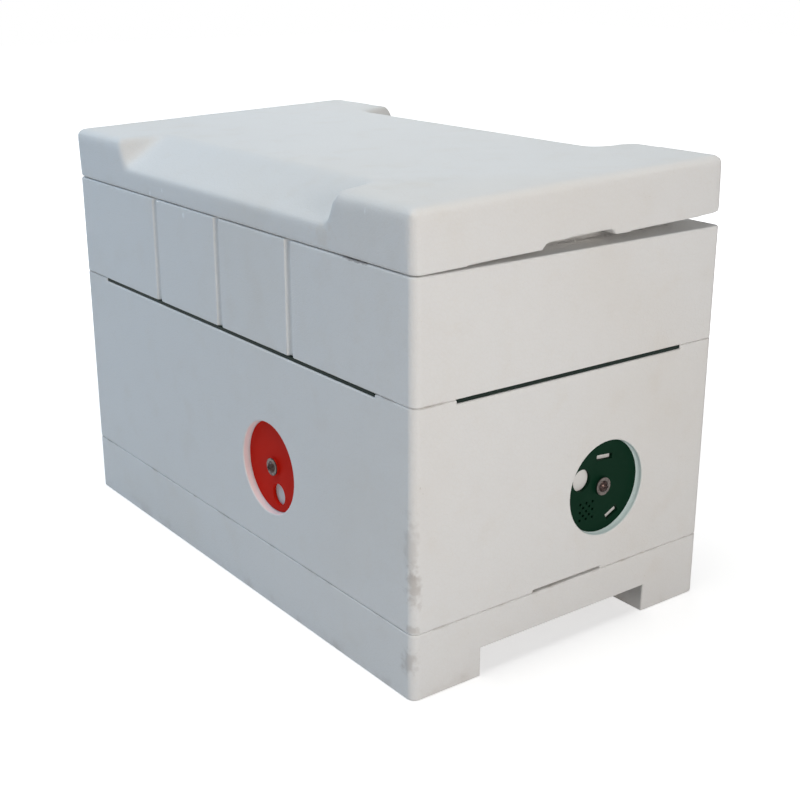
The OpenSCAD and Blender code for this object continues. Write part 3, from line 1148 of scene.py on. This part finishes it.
@dataclass
class FoamLid:
    """The lid, whose scoops run softly into its top.

    Attributes:
        grid: The width of the mesh's faces.
        rounds: How often the whole lid is smoothed.
        scoop_rounds: How often the scoops are smoothed besides.
        scoop_from: Where the scoops start, from the middle of the lid.
        scoop_half: Half the length of the scoops.
        scoop_drop: How far they reach below the middle of the lid's height.
        unevenness: How far the moulded faces stray.
        waves: The waves that they stray in, each by its count in a metre and its share.
        dents: Dents from use.
    """

    grid: float = 2.5 * MM
    rounds: int = 2
    scoop_rounds: int = 6
    scoop_from: float = 84 * MM
    scoop_half: float = 200 * MM
    scoop_drop: float = 12 * MM
    unevenness: float = 0.16 * MM
    waves: tuple[Span, ...] = ((17.0, 1.0), (47.0, 0.5))
    dents: tuple[Dent, ...] = (
        Dent(spot(-149, -169, 355), 5 * MM, 1.5 * MM),
        Dent(spot(-125, -192, 356.5), 5 * MM, 1.1 * MM),
        Dent(spot(-104, -173, 359.5), 13 * MM, 0.6 * MM),
        Dent(spot(-94, -147, 359.5), 11 * MM, 0.5 * MM),
        Dent(spot(-83, -194, 360), 16 * MM, 0.5 * MM),
        Dent(spot(40, -118, 364), 18 * MM, 0.5 * MM),
    )

    def build(self) -> None:
        """Makes the lid."""
        mesh = self.even_mesh()
        low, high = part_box("lid")
        middle = (low.z + high.z) / 2
        scoops = [
            vert
            for vert in mesh.verts
            if abs(vert.co.x) > self.scoop_from
            and abs(vert.co.y) < self.scoop_half
            and vert.co.z > middle - self.scoop_drop
        ]
        self.smooth(mesh, mesh.verts, self.rounds)
        self.smooth(mesh, scoops, self.scoop_rounds)
        self.roughen(mesh)
        for dent in self.dents:
            dent.press(mesh)
        add_piece(mesh, "lid_softened", "lid", LID_FOAM, Body.LID)

    @staticmethod
    def smooth(mesh: bmesh.types.BMesh, verts: Iterable[bmesh.types.BMVert], rounds: int) -> None:
        """Draws vertices towards the middle of their neighbours.

        Args:
            mesh: The mesh.
            verts: The vertices.
            rounds: How often they are drawn.
        """
        axes = {"use_axis_x": True, "use_axis_y": True, "use_axis_z": True}
        for _ in range(rounds):
            bmesh.ops.smooth_vert(mesh, verts=list(verts), factor=0.5, **axes)
        mesh.normal_update()

    def even_mesh(self) -> bmesh.types.BMesh:
        """The lid's CAD shape on an even grid of small faces.

        Returns:
            The shape as an editable mesh.
        """
        copy = merged_copy("lid")
        data = bpy.data.meshes.new("lid_grid")
        copy.to_mesh(data)
        copy.free()
        draft = bpy.data.objects.new("lid_grid", data)
        bpy.context.scene.collection.objects.link(draft)
        remesh = draft.modifiers.new("grid", "REMESH")
        remesh.mode = "VOXEL"
        remesh.voxel_size = self.grid
        depsgraph = bpy.context.evaluated_depsgraph_get()
        mesh = bmesh.new()
        mesh.from_mesh(draft.evaluated_get(depsgraph).data)
        bpy.data.objects.remove(draft)
        mesh.normal_update()
        return mesh

    def roughen(self, mesh: bmesh.types.BMesh) -> None:
        """Moves the faces a little in and out, as moulded foam is never quite flat.

        Args:
            mesh: The lid's mesh.
        """
        for vert in mesh.verts:
            wave = sum(share * noise.noise(vert.co * count) for count, share in self.waves)
            vert.co += vert.normal * self.unevenness * wave


@dataclass
class EntranceDisc:
    """A turning disc with its washer, screw and anchor.

    Attributes:
        colour: The disc's colour, as its nodes are named.
        finish: The disc's plastic.
        body: The body of the disc.
        disc_edge: The rounding of the disc's edges.
        washer_edge: The rounding of the washer's edges.
        screw_edge: The rounding of the screw's edges.
    """

    colour: str
    finish: DiscPlastic
    body: Body
    disc_edge: float = 0.35 * MM
    washer_edge: float = 0.2 * MM
    screw_edge: float = 0.1 * MM

    def build(self) -> None:
        """Makes the disc and what holds it."""
        soften(f"{self.colour}_entrance_disc", self.finish, self.body, self.disc_edge)
        soften(f"{self.colour}_disc_washer", ZINC, Body.BROOD, self.washer_edge)
        soften(f"{self.colour}_disc_screw", BLUED, Body.BROOD, self.screw_edge)
        dress(f"{self.colour}_disc_anchor", ANCHOR_PLASTIC)


@dataclass
class BroodFittings:
    """The rails, the divider, the excluder, the floor's grilles and the feeder's guards.

    Attributes:
        edge: The rounding of their edges.
        grille_edge: The rounding of the grilles' thin bars.
    """

    edge: float = 0.5 * MM
    grille_edge: float = 0.25 * MM

    def build(self) -> None:
        """Makes the pieces."""
        for end in ("front", "rear"):
            for side in ("left", "right"):
                soften(f"{end}_{side}_rail", RAIL_PLASTIC, Body.BROOD, self.edge)
        soften("divider_board", PLYWOOD, Body.DIVIDER, self.edge)
        soften("queen_excluder", EXCLUDER_PLASTIC, Body.EXCLUDER, self.edge)
        for side in ("left", "right"):
            soften(f"{side}_vent_grille", GRILLE_PLASTIC, Body.FLOOR, self.grille_edge)
            soften(f"{side}_bee_guard", GUARD_PLASTIC, Body.GUARDS, self.edge)


@dataclass
class WaxSheet:
    """A foundation sheet whose two faces are pressed with the bases of comb cells.

    Attributes:
        node: The sheet's CAD node.
        depth: How deep the bases are.
    """

    node: str
    depth: float = 0.7 * MM

    # Points of the sheet closer than this are one, and a triangle with less area is flat.
    GRID = 0.001 * MM
    LEAST_AREA = 0.5e-9

    def build(self) -> None:
        """Makes the sheet."""
        mesh = bmesh.new()
        low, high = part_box(self.node)
        self.press(mesh, low, high, low.x, 1)
        self.press(mesh, low, high, high.x, -1)
        bmesh.ops.bridge_loops(mesh, edges=[edge for edge in mesh.edges if edge.is_boundary])
        bmesh.ops.recalc_face_normals(mesh, faces=mesh.faces)
        add_piece(mesh, f"{self.node}_pressed", self.node, WAX, Body.FRAMES, smooth=False)

    def press(
        self, mesh: bmesh.types.BMesh, low: Vector, high: Vector, face: float, inward: int
    ) -> None:
        """Covers one face of the sheet with cells, which end at its edges.

        Args:
            mesh: The mesh that gets the cells.
            low: The sheet's lowest corner.
            high: Its highest corner.
            face: The face's place across the stack.
            inward: The sign of the way into the sheet.
        """
        radius = WAX.cell / math.sqrt(3)
        row_pitch = 1.5 * radius
        corners = [math.radians(30 + 60 * corner) for corner in range(6)]
        verts: dict[tuple[int, int], bmesh.types.BMVert] = {}

        def vert(along: float, height: float, depth: float) -> bmesh.types.BMVert:
            """The vertex at a place of the face, which is made once.

            Args:
                along: The place along the stack, which is kept within the sheet.
                height: The place's height, which is kept within the sheet.
                depth: How deep it is pressed, unless it lies on the sheet's edge.

            Returns:
                The vertex.
            """
            y = min(max(along, low.y), high.y)
            z = min(max(height, low.z), high.z)
            key = (round(y / self.GRID), round(z / self.GRID))
            if key not in verts:
                inner = low.y < y < high.y and low.z < z < high.z
                verts[key] = mesh.verts.new((face + inward * depth * inner, y, z))
            return verts[key]

        rows = math.ceil((high.z - low.z) / row_pitch) + 1
        columns = math.ceil((high.y - low.y) / WAX.cell) + 2
        for row in range(rows):
            for column in range(columns):
                y = low.y + (column - 0.5 * (row % 2)) * WAX.cell
                z = low.z + row * row_pitch
                middle = vert(y, z, self.depth)
                ring = [
                    vert(y + radius * math.cos(turn), z + radius * math.sin(turn), 0.0)
                    for turn in corners
                ]
                for first, second in zip(ring, ring[1:] + ring[:1]):
                    self.add_face(mesh, middle, first, second)

    def add_face(self, mesh: bmesh.types.BMesh, *corners: bmesh.types.BMVert) -> None:
        """Adds a triangle, unless the sheet's edge has squeezed it flat.

        Args:
            mesh: The mesh that gets it.
            corners: Its three corners.
        """
        first, second, third = (corner.co for corner in corners)
        if (second - first).cross(third - first).length / 2 > self.LEAST_AREA:
            mesh.faces.new(corners)


@dataclass
class FrameSet:
    """The frames of both colonies.

    Attributes:
        count: How many frames there are.
        edge: The rounding of the bars' edges.
    """

    count: int = 6
    edge: float = 0.9 * MM

    def build(self) -> None:
        """Makes the bars and the wax sheets."""
        for number in range(1, self.count + 1):
            for bar in ("top_bar", "bottom_bar"):
                soften(f"frame_{number}_{bar}", LONG_TIMBER, Body.FRAMES, self.edge)
            for bar in ("front_end_bar", "rear_end_bar"):
                soften(f"frame_{number}_{bar}", UPRIGHT_TIMBER, Body.FRAMES, self.edge)
            WaxSheet(f"frame_{number}_foundation").build()


@dataclass(frozen=True)
class Softbox:
    """A square lamp that shines at the middle of the object.

    Attributes:
        name: The lamp's name.
        place: Where it stands.
        width: Its width.
        power: Its power in watts.
        colour: The colour of its light.
    """

    name: str
    place: Point
    width: float
    power: float
    colour: Colour

    def light(self, target: Vector) -> None:
        """Puts the lamp in the scene.

        Args:
            target: The place that it is turned to.
        """
        lamp = bpy.data.lights.new(self.name, "AREA")
        lamp.shape = "SQUARE"
        lamp.size = self.width
        lamp.energy = self.power
        lamp.color = self.colour
        stand = bpy.data.objects.new(self.name, lamp)
        stand.location = self.place
        stand.rotation_euler = (target - Vector(self.place)).to_track_quat("-Z", "Y").to_euler()
        bpy.context.scene.collection.objects.link(stand)


@dataclass
class Studio:
    """A pale floor, soft light and the camera.

    Attributes:
        eye: Where the camera stands.
        look: The way that it looks.
        lens: The lens on a sensor of 36 mm, in millimetres.
        sky: The colour of the light from all sides.
        softboxes: The lamps.
        floor_width: The width of the floor.
        floor_colour: The floor.
        floor_glow: What the floor adds for the camera, so that it reads as white.
        floor_fade: The distances from the object over which it turns all white.
    """

    eye: Point = (-0.65115, -0.91764, 0.51001)
    look: Point = (0.56669, 0.75930, -0.31988)
    lens: float = 59.035
    sky: Colour = (0.06, 0.07, 0.09)
    softboxes: tuple[Softbox, ...] = (
        Softbox("front_softbox", (-0.35, -1.60, 0.55), 0.5, 10.1, (1.0, 0.935, 0.88)),
        Softbox("top_softbox", (-1.29, 0.43, 10.0), 6.9, 605.0, (0.99, 1.0, 0.97)),
        Softbox("left_softbox", (-1.1, 1.0, 1.3), 0.8, 8.2, (0.44, 0.70, 1.0)),
        Softbox("rear_softbox", (1.15, 1.35, 0.60), 0.8, 7.0, (1.0, 0.97, 0.93)),
    )
    floor_width: float = 14.0
    floor_colour: Colour = (0.66, 0.66, 0.66)
    floor_glow: float = 0.56
    floor_fade: Span = (0.35, 1.1)

    FLOOR_ROUGHNESS = 0.9

    def build(self) -> None:
        """Sets up the studio."""
        scene = bpy.context.scene
        scene.view_settings.view_transform = "Standard"
        low, high = CAD_BOX
        middle = (low + high) / 2
        for softbox in self.softboxes:
            softbox.light(middle)
        self.lay_floor()
        self.hang_sky()
        camera = bpy.data.cameras.new("camera")
        camera.lens = self.lens
        stand = bpy.data.objects.new("camera", camera)
        stand.location = self.eye
        stand.rotation_euler = Vector(self.look).to_track_quat("-Z", "Y").to_euler()
        scene.collection.objects.link(stand)
        scene.camera = stand

    def lay_floor(self) -> None:
        """Lays the floor, which glows for the camera alone, and the more the farther away."""
        mesh = bmesh.new()
        bmesh.ops.create_grid(mesh, x_segments=1, y_segments=1, size=self.floor_width / 2)
        data = bpy.data.meshes.new("floor")
        mesh.to_mesh(data)
        mesh.free()
        shader = Surface("studio_floor")
        away = shader.spread((0.0, 0.0, 0.0), EVEN).step(*self.floor_fade)
        glow = shader.seen() * (self.floor_glow + away * (1 - self.floor_glow))
        shader.coat(
            Base_Color=self.floor_colour,
            Roughness=self.FLOOR_ROUGHNESS,
            Specular_IOR_Level=0.0,
            Emission_Color=shader.mix(glow, BLACK, WHITE),
            Emission_Strength=1.0,
        )
        data.materials.append(shader.material)
        floor = bpy.data.objects.new("floor", data)
        bpy.context.scene.collection.objects.link(floor)

    def hang_sky(self) -> None:
        """Lights the scene from all sides, and shows the camera white past the floor."""
        world = bpy.data.worlds.new("studio_sky")
        world.use_nodes = True
        bpy.context.scene.world = world
        shader = Shader(world.node_tree)
        colour = world.node_tree.nodes["Background"].inputs["Color"]
        shader.feed(colour, shader.mix(shader.seen(), self.sky, WHITE))


def main() -> None:
    """Builds the studio and every sub-assembly in order."""
    logging.basicConfig(level=logging.INFO, format="%(name)s: %(message)s")
    Studio().build()
    FoamStack().build()
    FoamLid().build()
    EntranceDisc("green", GREEN, Body.GREEN_DISC).build()
    EntranceDisc("red", RED, Body.RED_DISC).build()
    BroodFittings().build()
    FrameSet().build()


if __name__ == "__main__":
    main()
